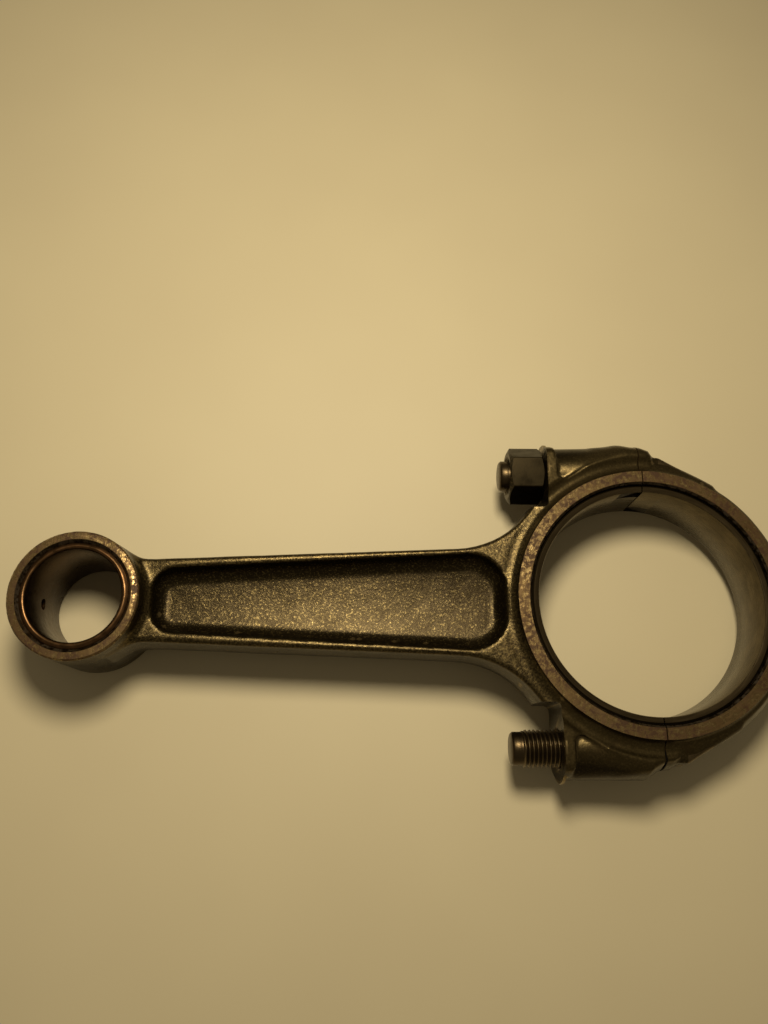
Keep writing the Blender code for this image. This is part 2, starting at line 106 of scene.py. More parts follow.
# The forged ring's outer radius at heights above the mid-plane: a barrel that draws in to its faces
RING_WALL_HEIGHTS = [0.0, 3.4, 6.0, 8.0, 9.1, 12.0]
RING_WALL_RADII = [36.2, 36.1, 34.9, 33.85, 32.95, 32.7]
RING_EDGE_RADIUS = 32.6
GROOVE_CENTRE_RADIUS = 35.0
GROOVE_CENTRE_HEIGHT = 9.4
GROOVE_SIZE = 2.4
FLANGE_HALF_THICKNESS = 7.0
WEB_HALF_THICKNESS = 2.25
BOSS_START_X = 111.5
BOSS_OUTER_Y = 41.5
BOSS_HALF_WIDTH = 8.0
NUT_SEAT_FLOOR_Y = 23.8
SEAT_COLLAR_RADIUS = 8.15
BOLT_THREAD_RADIUS = 4.4
BOLT_SHANK_RADIUS = 4.15
BOLT_POINT_RADIUS = 3.9
BOLT_HOLE_RADIUS = 4.45
THREAD_PITCH = 1.0
THREAD_START_X = BOLT_TIP_X + 2.5
THREAD_END_X = NUT_SEAT_X + 3.0
HEAD_SEAT_X = 142.4
HEAD_HALF_WIDTH = 6.3
HEAD_INNER_Y = 30.0
HEAD_GAP = 0.05
NUT_ACROSS_FLATS = 13.0
NUT_CLOCKING = math.radians(21.7)
NUT_CHAMFER = math.radians(30)
TANG_LENGTH = 3.4
TANG_DEPTH = 1.15
TANG_WIDTH = 3.1
TANG_CENTRE_Z = 5.75
TANG_CLEARANCE = 0.3
EDGE_BREAK = 0.55
# Rise of the web's floor and fall of the bosses' flanks, per square millimetre from their middle
WEB_DISHING = 0.008
BOSS_CROWN = 0.042
# Cutters reach this far past the forgings
PAST_X = 200
PAST_Y = 60
PAST_Z = 20
FINE_STEPS = 224


# ---------------------------------------------------------------- outlines and fields


def rounded(corners, arc_step=math.radians(6)):
    """Polygon points from (x, y, corner radius) corners; each radius becomes an arc."""
    points = []
    for i, (x, y, radius) in enumerate(corners):
        corner = Vector((x, y))
        if radius == 0:
            points.append(corner)
            continue
        before = (Vector(corners[i - 1][:2]) - corner).normalized()
        after = (Vector(corners[(i + 1) % len(corners)][:2]) - corner).normalized()
        half_angle = before.angle(after) / 2
        centre = corner + (before + after).normalized() * (radius / math.sin(half_angle))
        first = corner + before * (radius / math.tan(half_angle)) - centre
        last = corner + after * (radius / math.tan(half_angle)) - centre
        sweep = first.angle_signed(last)
        steps = max(2, math.ceil(abs(sweep) / arc_step))
        for step in range(steps + 1):
            points.append(centre + Matrix.Rotation(-sweep * step / steps, 2) @ first)
    return points


def mirrored(upper_corners):
    lower = [(x, -y, radius) for x, y, radius in upper_corners]
    return lower + upper_corners[::-1]


def plan_distance(x, y, points):
    """Signed distance of each (x, y) from a closed outline, negative inside."""
    nearest = np.full(x.shape, 1e9, np.float32)
    inside = np.zeros(x.shape, bool)
    for a, b in zip(points, points[1:] + points[:1]):
        ex, ey = b.x - a.x, b.y - a.y
        wx, wy = x - a.x, y - a.y
        t = np.clip((wx * ex + wy * ey) / (ex * ex + ey * ey), 0, 1)
        nearest = np.minimum(nearest, (wx - t * ex) ** 2 + (wy - t * ey) ** 2)
        if a.y != b.y:
            inside ^= ((a.y > y) != (b.y > y)) & (x < ex * (y - a.y) / ey + a.x)
    return np.where(inside, -1, 1) * np.sqrt(nearest)


def round_max(a, b, radius):
    """Where both solids are, with the outer edge rounded."""
    corner = np.hypot(np.maximum(a + radius, 0), np.maximum(b + radius, 0))
    return np.minimum(np.maximum(a, b), -radius) + corner


def round_min(a, b, radius):
    """Where either solid is, with a fillet between them."""
    return -round_max(-a, -b, radius)


def smooth_max(a, b, width):
    blend = np.maximum(width - np.abs(a - b), 0) / width
    return np.maximum(a, b) + blend * blend * width / 4


def lumps(shape, spacing, seed):
    """Smooth noise from -1 to 1 on a grid, with lumps this many voxels across."""
    values = np.random.default_rng(seed).uniform(-1, 1, [int(n / spacing) + 4 for n in shape])
    for axis, size in enumerate(shape):
        at = np.arange(size) / spacing + 1
        low = at.astype(int)
        share = at - low
        share = (share * share * (3 - 2 * share)).reshape([-1 if i == axis else 1 for i in range(3)])
        values = values.take(low, axis) * (1 - share) + values.take(low + 1, axis) * share
    return values.astype(np.float32)


def big_ring(x, y, s):
    """The forged big-end ring, with stock to machine off its faces, and each point's radius from it."""
    radius = np.hypot(x - BIG_END_X, y)
    outer = np.interp(s, RING_WALL_HEIGHTS, RING_WALL_RADII).astype(np.float32)
    wall = (radius - outer) * 0.85
    return round_max(wall, s - (RING_HALF_WIDTH + FORGING_ALLOWANCE), 0.3), radius


def ring_groove(radius, s):
    """The shallow channel that runs round the ring across the bosses."""
    return GROOVE_SIZE - np.hypot(radius - GROOVE_CENTRE_RADIUS, s - GROOVE_CENTRE_HEIGHT)


def shank_field(x, y, s):
    """The I-section shank, flaring into both ends, with the same pocket on each side."""
    shank_corners = [
        (3.7, 11.47, 0),
        (7.4, 13.47, 0),
        (11.8, 10.5, 15.0),
        (101.0, 14.15, 23.0),
        (112.6, 29.3, 0),
        (142.0, 29.3, 0),
    ]
    pocket_corners = [(16.8, 7.6, 5.5), (102.2, 12.15, 9.0)]
    plan = plan_distance(x, y, rounded(mirrored(shank_corners)))
    pocket_plan = plan_distance(x, y, rounded(mirrored(pocket_corners)))
    shank = round_max(plan + 0.1 * s, s - FLANGE_HALF_THICKNESS, 1.0)
    web_floor = WEB_HALF_THICKNESS + WEB_DISHING * y**2
    pocket = round_max(pocket_plan - (s - 6.5) * 0.18, web_floor - s, 2.9)
    return smooth_max(shank, -pocket, 0.6)


def boss_field(x, y, s):
    """The two bolt bosses: the upper one swells near the joint and the lower one falls away there."""
    swelling = 0.15 + 0.6 * np.exp(-(((x - 132.5) / 2.6) ** 2))
    falling = 2.0 * np.clip((x - 133.6) / 3.4, 0, 1) ** 0.8
    outer = np.where(y > 0, BOSS_OUTER_Y + swelling, BOSS_OUTER_Y - falling)
    side = np.abs(y)
    block = round_max(side - outer + BOSS_CROWN * s**2, s - BOSS_HALF_WIDTH, 1.0)
    return np.maximum(block, np.maximum(BOSS_START_X - x, 22 - side))


def scoop_field(x, side, s):
    """The scoop forged into each boss, which leaves a barrel round the bolt and fades out at the joint."""
    corners = [
        (114.9, 44.0, 0),
        (116.2, 36.5, 2.0),
        (116.2, 31.4, 1.6),
        (118.3, 31.4, 2.2),
        (124.0, 34.6, 8.0),
        (131.0, 36.5, 8.0),
        (150.0, 37.0, 0),
        (150.0, 44.0, 0),
    ]
    plan = plan_distance(x, side, rounded(corners))
    reach = 7.35 + 0.22 * np.clip(x - 125, 0, 9)
    depth = 6.4 + 0.15 * np.clip(x - 117, 0, 17)
    barrel = (1 - np.hypot((side - BOLT_OFFSET) / reach, s / depth)) * 7.0
    return round_max(plan, barrel, 0.7)


def rod_field(x, y, s):
    """Distance field of the rod forging, s being the height above or below the mid-plane."""
    eye = round_max(np.hypot(x, y) - EYE_RADIUS, s - (EYE_HALF_WIDTH + 0.15), 0.8)
    ring, radius = big_ring(x, y, s)
    body = round_min(shank_field(x, y, s), eye, 2.2)
    body = round_min(body, ring, 1.3)
    body = round_min(body, boss_field(x, y, s), 1.6)
    body = smooth_max(body, -scoop_field(x, np.abs(y), s), 0.5)
    return smooth_max(body, ring_groove(radius, s), 0.5)


def cap_field(x, y, s):
    """Distance field of the cap forging, whose lower shoulder is the smaller one."""
    upper_corners = [
        (125.0, BOSS_OUTER_Y + 0.5, 0),
        (138.2, BOSS_OUTER_Y + 0.2, 2.0),
        (141.3, 40.5, 1.2),
        (142.6, 38.2, 0.5),
        (142.8, 30.0, 0),
    ]
    lower_corners = [
        (125.0, BOSS_OUTER_Y - 1.8, 0),
        (139.3, BOSS_OUTER_Y - 2.2, 1.5),
        (142.4, 37.6, 0.8),
        (142.8, 30.0, 0),
    ]
    slope_corners = [(125.0, 38.0, 0), (143.0, 38.0, 0.8), (156.2, 30.1, 0), (157.0, 20.0, 0)]
    upper_plan = plan_distance(x, y, rounded(mirrored(upper_corners)))
    lower_plan = plan_distance(x, y, rounded(mirrored(lower_corners)))
    plan = np.where(y > 0, upper_plan, lower_plan)
    shoulders = round_max(plan + BOSS_CROWN * s**2, s - BOSS_HALF_WIDTH, 1.0)
    slope_plan = plan_distance(x, y, rounded(mirrored(slope_corners)))
    slope = round_max(slope_plan + 0.05 * s, s - HEAD_HALF_WIDTH, 1.2)
    shoulders = round_min(shoulders, slope, 0.5)
    ring, radius = big_ring(x, y, s)
    body = round_min(ring, shoulders, 1.6)
    return smooth_max(body, ring_groove(radius, s), 0.5)


def sampled(name, field, low, high, seed):
    """A closed mesh of a field, mirrored in the mid-plane and a little uneven, as forgings are."""
    size = [math.ceil((b - a) / VOXEL) + 1 for a, b in zip(low, high)]
    half = size[2] // 2 + 1
    xs = (low[0] + VOXEL * np.arange(size[0])).astype(np.float32)[:, None, None]
    ys = (low[1] + VOXEL * np.arange(size[1])).astype(np.float32)[None, :, None]
    zs = (VOXEL * np.arange(half)).astype(np.float32)[None, None, :]
    x2, y2 = np.broadcast_arrays(xs[:, :, :1], ys[:, :, :1])
    upper = field(np.ascontiguousarray(x2), np.ascontiguousarray(y2), zs).astype(np.float32)
    whole = np.concatenate([upper[:, :, :0:-1], upper], axis=2)
    broad = lumps(whole.shape, 4.2 / VOXEL, seed)
    fine = lumps(whole.shape, 1.5 / VOXEL, seed + 1)
    whole += 0.04 * broad + 0.015 * fine
    grid = openvdb.FloatGrid(4.0)
    grid.copyFromArray(np.clip(whole, -4, 4))
    points, quads = grid.convertToQuads(0.0)
    points = points * VOXEL + np.array([low[0], low[1], -VOXEL * (half - 1)])
    mesh = bpy.data.meshes.new(name)
    mesh.from_pydata(points.tolist(), [], quads[:, ::-1].tolist())
    mesh.validate()
    return linked(name, mesh)


def linked(name, mesh):
    made = bpy.data.objects.new(name, mesh)
    bpy.context.collection.objects.link(made)
    return made


# ---------------------------------------------------------------- turned and prismatic shapes


def from_bmesh(name, shape, material=None):
    bmesh.ops.recalc_face_normals(shape, faces=shape.faces)
    mesh = bpy.data.meshes.new(name)
    shape.to_mesh(mesh)
    shape.free()
    if material:
        mesh.materials.append(material)
    return linked(name, mesh)


def turned(name, profile, material=None, steps=FINE_STEPS, along_x=False, x=0.0, y=0.0):
    """A solid of revolution from (radius, height) points; points on the axis close its ends."""
    shape = bmesh.new()
    rings = []
    for radius, height in profile:
        if radius == 0:
            rings.append([shape.verts.new((0, 0, height))] * steps)
            continue
        ring = []
        for step in range(steps):
            angle = 2 * math.pi * step / steps
            ring.append(shape.verts.new((radius * math.cos(angle), radius * math.sin(angle), height)))
        rings.append(ring)
    pairs = list(zip(rings, rings[1:])) + ([] if profile[0][0] == 0 else [(rings[-1], rings[0])])
    for lower, upper in pairs:
        for i in range(steps):
            j = (i + 1) % steps
            shape.faces.new(list(dict.fromkeys((lower[i], lower[j], upper[j], upper[i]))))
    if along_x:
        bmesh.ops.rotate(shape, verts=shape.verts, matrix=Matrix.Rotation(math.pi / 2, 3, "Y"))
    bmesh.ops.translate(shape, verts=shape.verts, vec=(x, y, 0))
    return from_bmesh(name, shape, material)


def prism(name, outline, low, high, material=None):
    """An upright prism on an outline of (x, y) points."""
    shape = bmesh.new()
    loops = [[shape.verts.new((p[0], p[1], height)) for p in outline] for height in (low, high)]
    shape.faces.new(loops[0][::-1])
    shape.faces.new(loops[1])
    for i in range(len(outline)):
        j = (i + 1) % len(outline)
        shape.faces.new((loops[0][i], loops[0][j], loops[1][j], loops[1][i]))
    return from_bmesh(name, shape, material)


def box(name, low, high, material=None):
    outline = [(low[0], low[1]), (high[0], low[1]), (high[0], high[1]), (low[0], high[1])]
    return prism(name, outline, low[2], high[2], material)


def combine(target, other, operation, solver):
    modifier = target.modifiers.new(operation, "BOOLEAN")
    modifier.operation = operation
    modifier.solver = solver
    modifier.material_mode = "TRANSFER"
    modifier.object = other
    evaluated = target.evaluated_get(bpy.context.evaluated_depsgraph_get())
    result = bpy.data.meshes.new_from_object(evaluated)
    target.modifiers.clear()
    target.data = result
    bpy.data.objects.remove(other)


def cut(target, *others, solver="MANIFOLD"):
    for other in others:
        combine(target, other, "DIFFERENCE", solver)


def chamfered_bore(name, radius, half_width, chamfer, material, x=0.0):
    wide = radius + chamfer + 1
    profile = [
        (0, -half_width - 1),
        (wide, -half_width - 1),
        (radius, chamfer - half_width),
        (radius, half_width - chamfer),
        (wide, half_width + 1),
        (0, half_width + 1),
    ]
    return turned(name, profile, material, x=x)


def finish_piece(piece, node, body, smooth_angle=32):
    """Moves a piece from rod coordinates into the frame, shades it and hands it to its CAD body."""
    piece.data.transform(PLACE)
    piece.data.shade_smooth()
    piece.data.set_sharp_from_angle(angle=math.radians(smooth_angle))
    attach(piece, body)
    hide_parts(node)
    return piece


# ---------------------------------------------------------------- materials


class Nodes:
    """Small helper for building one material's nodes."""

    def __init__(self, name):
        self.material = bpy.data.materials.new(name)
        self.material.use_nodes = True
        self.tree = self.material.node_tree
        self.shader = self.tree.nodes["Principled BSDF"]
        self.position = self.add("ShaderNodeTexCoord").outputs["Object"]

    def add(self, kind, **settings):
        node = self.tree.nodes.new(kind)
        for key, value in settings.items():
            setattr(node, key, value)
        return node

    def link(self, source, target):
        self.tree.links.new(source, target)

    def put(self, socket, value):
        if isinstance(value, bpy.types.NodeSocket):
            self.link(value, socket)
        else:
            socket.default_value = value

    def noise(self, size_mm, detail=3.0, vector=None, roughness=0.55):
        """Noise from about 0 to 1 whose lumps are this big."""
        node = self.add("ShaderNodeTexNoise")
        node.inputs["Scale"].default_value = 1 / (size_mm * MM)
        node.inputs["Detail"].default_value = detail
        node.inputs["Roughness"].default_value = roughness
        self.link(vector or self.position, node.inputs["Vector"])
        return node.outputs["Fac"]

    def ramp(self, value, *stops):
        """Maps a value through (position, colour or grey) stops."""
        node = self.add("ShaderNodeValToRGB")
        elements = node.color_ramp.elements
        while len(elements) < len(stops):
            elements.new(0.5)
        for element, (place, colour) in zip(elements, stops):
            element.position = place
            grey = isinstance(colour, (int, float))
            element.color = (colour, colour, colour, 1) if grey else (*colour, 1)
        self.link(value, node.inputs["Fac"])
        return node.outputs["Color"]

    def map_range(self, value, start, end):
        """Runs from one (value, result) pair to the other and stays level beyond them."""
        node = self.add("ShaderNodeMapRange", clamp=True)
        self.link(value, node.inputs["Value"])
        node.inputs["From Min"].default_value, node.inputs["To Min"].default_value = start
        node.inputs["From Max"].default_value, node.inputs["To Max"].default_value = end
        return node.outputs["Result"]

    def maths(self, operation, a, b=0.5):
        node = self.add("ShaderNodeMath", operation=operation)
        self.put(node.inputs[0], a)
        self.put(node.inputs[1], b)
        return node.outputs[0]

    def mix(self, share, a, b):
        node = self.add("ShaderNodeMix", data_type="RGBA")
        self.put(node.inputs["Factor"], share)
        for socket, value in ((node.inputs["A"], a), (node.inputs["B"], b)):
            self.put(socket, value if isinstance(value, bpy.types.NodeSocket) else (*value, 1))
        return node.outputs["Result"]

    def separate(self, vector):
        node = self.add("ShaderNodeSeparateXYZ")
        self.link(vector, node.inputs[0])
        return node.outputs

    def about_axis(self, centre, along="Z"):
        """(distance from the axis, angle, position along it) of the surface, in metres and radians."""
        shift = self.add("ShaderNodeVectorMath", operation="SUBTRACT")
        self.link(self.position, shift.inputs[0])
        shift.inputs[1].default_value = centre
        parts = self.separate(shift.outputs[0])
        order = (0, 1, 2) if along == "Z" else (1, 2, 0)
        first, second, third = (parts[i] for i in order)
        first_square = self.maths("MULTIPLY", first, first)
        second_square = self.maths("MULTIPLY", second, second)
        radius = self.maths("SQRT", self.maths("ADD", first_square, second_square))
        return radius, self.maths("ARCTAN2", second, first), third

    def turned_marks(self, centre, along="Z", size_mm=0.35, stretch=0.01, detail=2.0):
        """Streaks that run round an axis, as a lathe or a grinding wheel leaves them."""
        radius, angle, height = self.about_axis(centre, along)
        joined = self.add("ShaderNodeCombineXYZ")
        self.link(radius, joined.inputs[0])
        self.link(self.maths("MULTIPLY", angle, stretch), joined.inputs[1])
        self.link(height, joined.inputs[2])
        return self.noise(size_mm, detail, joined.outputs[0])

    def bump(self, height, distance_mm, strength=1.0, normal=None):
        node = self.add("ShaderNodeBump")
        node.inputs["Strength"].default_value = strength
        node.inputs["Distance"].default_value = distance_mm * MM
        self.link(height, node.inputs["Height"])
        if normal:
            self.link(normal, node.inputs["Normal"])
        return node.outputs["Normal"]

    def worn(self, low, high):
        """1 on convex edges, 0 on flats and in hollows."""
        pointiness = self.add("ShaderNodeNewGeometry").outputs["Pointiness"]
        return self.ramp(pointiness, (low, 0.0), (high, 1.0))

    def set(self, **values):
        for key, value in values.items():
            socket = self.shader.inputs[key.replace("_", " ")]
            if isinstance(value, tuple):
                value = (*value, 1)
            self.put(socket, value)
        return self.material


def forged_material():
    """Shot-blasted forging, oiled and browned, with worn edges and a grain of dark pits and of light specks
    that are painted glints.

    The grain is strongest on the shank and in the hollows; surfaces that lie low in the forging are also
    painted darker, as shade.
    """
    n = Nodes("forged_steel_look")
    along, _, up = n.separate(n.position)
    blasted = n.map_range(along, (0.028, 1.0), (0.036, 0.35))
    patches = n.noise(14, 4, roughness=0.6)
    stains = n.noise(4.5, 5, roughness=0.65)
    grain = n.noise(0.50, 4, roughness=0.75)
    coarse = n.noise(1.5, 3, roughness=0.6)
    colour = n.mix(n.ramp(patches, (0.35, 0.0), (0.7, 1.0)), (0.070, 0.051, 0.020), (0.090, 0.066, 0.027))
    colour = n.mix(n.ramp(stains, (0.55, 0.0), (0.75, 0.5)), colour, (0.055, 0.033, 0.011))
    # Surfaces that lie low, near the mid-plane, as in the pocket and the scoops, are painted darker: painted
    # shade.
    from_middle = n.maths("ABSOLUTE", n.maths("SUBTRACT", up, SMALL_END.z))
    centimetres = n.maths("MULTIPLY", from_middle, 0.1 / MM)
    hollow = n.ramp(centimetres, (0.55, 0.8), (0.69, 0.0))
    colour = n.mix(hollow, colour, (0.016, 0.011, 0.004))
    pitted = n.maths("MAXIMUM", blasted, hollow)
    dark = n.maths("MULTIPLY", n.ramp(grain, (0.40, 1.0), (0.52, 0.0)), pitted)
    colour = n.mix(dark, colour, (0.022, 0.015, 0.006))
    # Light grain specks on the blasted shank are painted glints.
    light = n.maths("MULTIPLY", n.ramp(grain, (0.55, 0.0), (0.66, 0.62)), blasted)
    colour = n.mix(light, colour, (0.24, 0.18, 0.075))
    unstained = n.ramp(stains, (0.3, 0.9), (0.62, 0.5))
    wear = n.maths("MULTIPLY", n.worn(0.515, 0.58), unstained)
    colour = n.mix(wear, colour, (0.30, 0.225, 0.11))
    metallic = n.ramp(wear, (0.0, 0.85), (1.0, 0.95))
    rough = n.ramp(stains, (0.35, 0.27), (0.7, 0.36))
    height = n.maths("MULTIPLY", grain, pitted)
    normal = n.bump(height, 0.05, 1.0)
    normal = n.bump(coarse, 0.05, 0.7, normal)
    return n.set(Base_Color=colour, Metallic=metallic, Roughness=rough, Normal=normal)


def machined_material(big_end, small_end):
    """Ground faces browned in use, with rust freckles and turning marks, and the bores and their chamfers
    painted dark, as shade.
    """
    n = Nodes("machined_steel_look")
    marks = n.turned_marks(big_end, size_mm=0.3, stretch=0.004)
    patches = n.noise(7, 4, roughness=0.6)
    freckles = n.noise(1.1, 4, roughness=0.7)
    zone = n.noise(5, 2)
    colour = n.mix(n.ramp(patches, (0.35, 0.0), (0.68, 1.0)), (0.28, 0.195, 0.088), (0.165, 0.105, 0.043))
    colour = n.mix(n.ramp(marks, (0.4, 0.35), (0.6, 0.0)), colour, (0.09, 0.058, 0.028))
    colour = n.mix(n.ramp(freckles, (0.36, 0.8), (0.46, 0.0)), colour, (0.42, 0.31, 0.15))
    rusty = n.ramp(zone, (0.34, 0.4), (0.56, 1.0))
    spots = n.maths("MULTIPLY", n.ramp(freckles, (0.45, 0.0), (0.53, 1.0)), rusty)
    colour = n.mix(spots, colour, (0.06, 0.028, 0.009))
    # Inside the housing's and the eye's chamfers the faces are painted near black: painted shade.
    ring_radius, _, _ = n.about_axis(big_end)
    eye_radius, _, _ = n.about_axis(small_end)
    in_housing = n.maths("LESS_THAN", ring_radius, 29.8 * MM)
    in_eye = n.maths("LESS_THAN", eye_radius, 13.3 * MM)
    bore_chamfer_shade = n.maths("MAXIMUM", in_housing, in_eye)
    colour = n.mix(bore_chamfer_shade, colour, (0.03, 0.02, 0.010))
    rough = n.mix(spots, n.ramp(patches, (0.3, 0.25), (0.7, 0.35)), (0.6, 0.6, 0.6))
    normal = n.bump(marks, 0.05, 0.35)
    normal = n.bump(freckles, 0.08, 0.6, normal)
    metallic = n.ramp(spots, (0.0, 0.95), (1.0, 0.4))
    return n.set(Base_Color=colour, Metallic=metallic, Roughness=rough, Normal=normal)


def gap_shade_material():
    """Bottoms of gaps and hollows, painted near black as shade."""
    n = Nodes("painted_gap_shade_look")
    grain = n.noise(0.8, 3)
    colour = n.mix(grain, (0.010, 0.008, 0.005), (0.030, 0.020, 0.011))
    rough = n.ramp(grain, (0.3, 0.5), (0.7, 0.7))
    normal = n.bump(grain, 0.05, 0.5)
    return n.set(Base_Color=colour, Metallic=0.3, Roughness=rough, Normal=normal)


def shell_material(centre):
    """Grey bearing metal, burnished round the bore by the journal, on a dark steel back whose rims are also
    painted dark, as shade.
    """
    n = Nodes("bearing_metal_look")
    marks = n.turned_marks(centre, size_mm=0.5, stretch=0.003, detail=3)
    broad = n.turned_marks(centre, size_mm=2.6, stretch=0.02)
    patches = n.noise(9, 4)
    colour = n.mix(n.ramp(broad, (0.35, 0.0), (0.68, 1.0)), (0.125, 0.098, 0.055), (0.078, 0.061, 0.033))
    colour = n.mix(n.ramp(patches, (0.45, 0.0), (0.72, 0.5)), colour, (0.08, 0.062, 0.035))
    colour = n.mix(n.ramp(marks, (0.36, 0.4), (0.52, 0.0)), colour, (0.06, 0.047, 0.028))
    # Outside the lining, the rim faces and the back take a dark steel colour: partly the steel back, partly
    # painted shade along the rim.
    radius, _, _ = n.about_axis(centre)
    steel_back_shade = n.maths("GREATER_THAN", radius, (SHELL_BORE_RADIUS + 0.15) * MM)
    colour = n.mix(steel_back_shade, colour, (0.06, 0.043, 0.021))
    rough = n.ramp(marks, (0.3, 0.23), (0.7, 0.34))
    normal = n.bump(marks, 0.05, 0.3)
    return n.set(Base_Color=colour, Metallic=0.85, Roughness=rough, Normal=normal)


def bush_material(centre):
    """Bronze darkened by oil, coppery on its rims, where lighter patches are painted glints."""
    n = Nodes("bush_bronze_look")
    marks = n.turned_marks(centre, size_mm=0.6, stretch=0.004, detail=3)
    patches = n.noise(5, 4)
    glints = n.noise(2.2, 2)
    colour = n.mix(n.ramp(patches, (0.35, 0.0), (0.68, 1.0)), (0.085, 0.05, 0.02), (0.055, 0.032, 0.013))
    colour = n.mix(n.ramp(marks, (0.38, 0.5), (0.55, 0.0)), colour, (0.035, 0.02, 0.009))
    radius, _, _ = n.about_axis(centre)
    # The rims are the bronze's own copper, and the lighter patches on them are painted glints.
    copper_rim_glints = n.maths("GREATER_THAN", radius, (BUSH_BORE_RADIUS + 0.25) * MM)
    copper_rim_glints = n.maths("MULTIPLY", copper_rim_glints, n.ramp(glints, (0.40, 0.35), (0.62, 1.0)))
    colour = n.mix(copper_rim_glints, colour, (0.15, 0.080, 0.036))
    rough = n.ramp(marks, (0.3, 0.26), (0.7, 0.38))
    normal = n.bump(marks, 0.05, 0.35)
    return n.set(Base_Color=colour, Metallic=0.95, Roughness=rough, Normal=normal)


def bolt_material(centre):
    """Bolt steel, darker the nearer it lies to the axis, so that the thread roots are dark and the crests
    bright.
    """
    n = Nodes("bolt_steel_look")
    radius, _, _ = n.about_axis(centre, "X")
    millimetres = n.maths("MULTIPLY", radius, 1 / MM)
    marks = n.turned_marks(centre, "X", size_mm=0.3, stretch=0.006)
    patches = n.noise(2.2, 4)
    colour = n.mix(n.ramp(patches, (0.35, 0.0), (0.7, 1.0)), (0.16, 0.12, 0.065), (0.11, 0.08, 0.04))
    # Darker towards the axis: the thread roots and the dog point are darkened.
    crest = n.map_range(millimetres, (3.8, 0.0), (4.3, 1.0))
    colour = n.mix(crest, (0.06, 0.042, 0.022), colour)
    rough = n.ramp(marks, (0.3, 0.26), (0.7, 0.42))
    normal = n.bump(marks, 0.05, 0.35)
    return n.set(Base_Color=colour, Metallic=0.95, Roughness=rough, Normal=normal)


def nut_material():
    """Black oxide, rubbed through along the corners."""
    n = Nodes("black_oxide_look")
    patches = n.noise(2.5, 4)
    grain = n.noise(0.35, 3)
    colour = n.mix(n.ramp(patches, (0.35, 0.0), (0.7, 1.0)), (0.005, 0.0045, 0.003), (0.010, 0.0085, 0.005))
    colour = n.mix(n.maths("MULTIPLY", n.worn(0.53, 0.62), 0.4), colour, (0.20, 0.15, 0.08))
    rough = n.ramp(patches, (0.3, 0.32), (0.7, 0.48))
    normal = n.bump(grain, 0.05, 0.4)
    return n.set(Base_Color=colour, Metallic=1.0, Roughness=rough, Normal=normal)


# ---------------------------------------------------------------- pieces


def tang_notch(side, start_x, end_x):
    """The two corners of the slot that takes a shell's tang, above the mid-plane for side 1."""
    centre = side * TANG_CENTRE_Z
    half = TANG_WIDTH / 2 + 0.25
    low = (start_x, SHELL_BORE_RADIUS + 1, centre - half)
    high = (end_x, SHELL_OUTER_RADIUS + TANG_DEPTH + TANG_CLEARANCE, centre + half)
    return low, high


def ring_face_cutter(sign, material):
    """Faces one side of the big end and breaks its outer edge."""
    inner, outer, top = 20.0, 60.0, 14.0
    profile = [
        (inner, RING_HALF_WIDTH),
        (RING_EDGE_RADIUS, RING_HALF_WIDTH),
        (RING_EDGE_RADIUS + 0.35, RING_HALF_WIDTH - 0.3),
        (RING_EDGE_RADIUS + 0.9, RING_HALF_WIDTH),
        (outer, RING_HALF_WIDTH + 1.2),
        (outer, top),
        (inner, top),
    ]
    return turned("face", [(radius, sign * height) for radius, height in profile], material, x=BIG_END_X)


def eye_edge_cutter(sign, material):
    """Breaks the outer edge of one face of the small end."""
    inner, outer, drop = EYE_RADIUS - 0.55, 18.0, 1.6
    top = EYE_HALF_WIDTH + 0.1
    profile = [(inner, top), (outer, top - (outer - inner)), (outer, top + drop), (inner, top + drop)]
    return turned("eye_edge", [(radius, sign * height) for radius, height in profile], material)


def seat_cutter(sign, material):
    """The spot-faced flat for one nut, with the fillet that the tool leaves at its floor."""
    corners = [
        (90.0, NUT_SEAT_FLOOR_Y, 0),
        (NUT_SEAT_X, NUT_SEAT_FLOOR_Y, 1.5),
        (NUT_SEAT_X, 50.0, 0),
        (90.0, 50.0, 0),
    ]
    outline = [(p.x, sign * p.y) for p in rounded(corners)]
    return prism("seat", outline, -14, 14, material)


def bolt_hole_cutter(sign, material):
    profile = [
        (0, NUT_SEAT_X - 1),
        (BOLT_HOLE_RADIUS + 1.5, NUT_SEAT_X - 1),
        (BOLT_HOLE_RADIUS, NUT_SEAT_X + 0.5),
        (BOLT_HOLE_RADIUS, HEAD_SEAT_X + 1),
        (0, HEAD_SEAT_X + 1),
    ]
    return turned("bolt_hole", profile, material, 96, True, y=sign * BOLT_OFFSET)


def seat_collar(sign, material):
    """A thin disc standing proud of the boss round the nut seat."""
    profile = [
        (0, NUT_SEAT_X + 0.005),
        (SEAT_COLLAR_RADIUS - 0.2, NUT_SEAT_X + 0.005),
        (SEAT_COLLAR_RADIUS, NUT_SEAT_X + 0.2),
        (SEAT_COLLAR_RADIUS, NUT_SEAT_X + 0.6),
        (SEAT_COLLAR_RADIUS - 0.7, NUT_SEAT_X + 1.0),
        (0, NUT_SEAT_X + 1.0),
    ]
    return turned("collar", profile, material, 128, True, y=sign * BOLT_OFFSET)


def oil_hole_cutter(material):
    """Drills the oil hole through the far wall of the eye and the bush."""
    outside, inside = -20, -9
    profile = [(0, outside), (OIL_HOLE_RADIUS, outside), (OIL_HOLE_RADIUS, inside), (0, inside)]
    return turned("oil_hole", profile, material, 40, True)


def parting_wedge(sign, material):
    """Breaks the outer corner of the joint face, more on the lower side."""
    start, reach = (33.0, 1.1) if sign < 0 else (39.5, 0.45)
    end = 46
    outline = [
        (BIG_END_X, sign * start),
        (BIG_END_X - reach, sign * end),
        (BIG_END_X + reach, sign * end),
    ]
    return prism("wedge", outline if sign > 0 else outline[::-1], -14, 14, material)


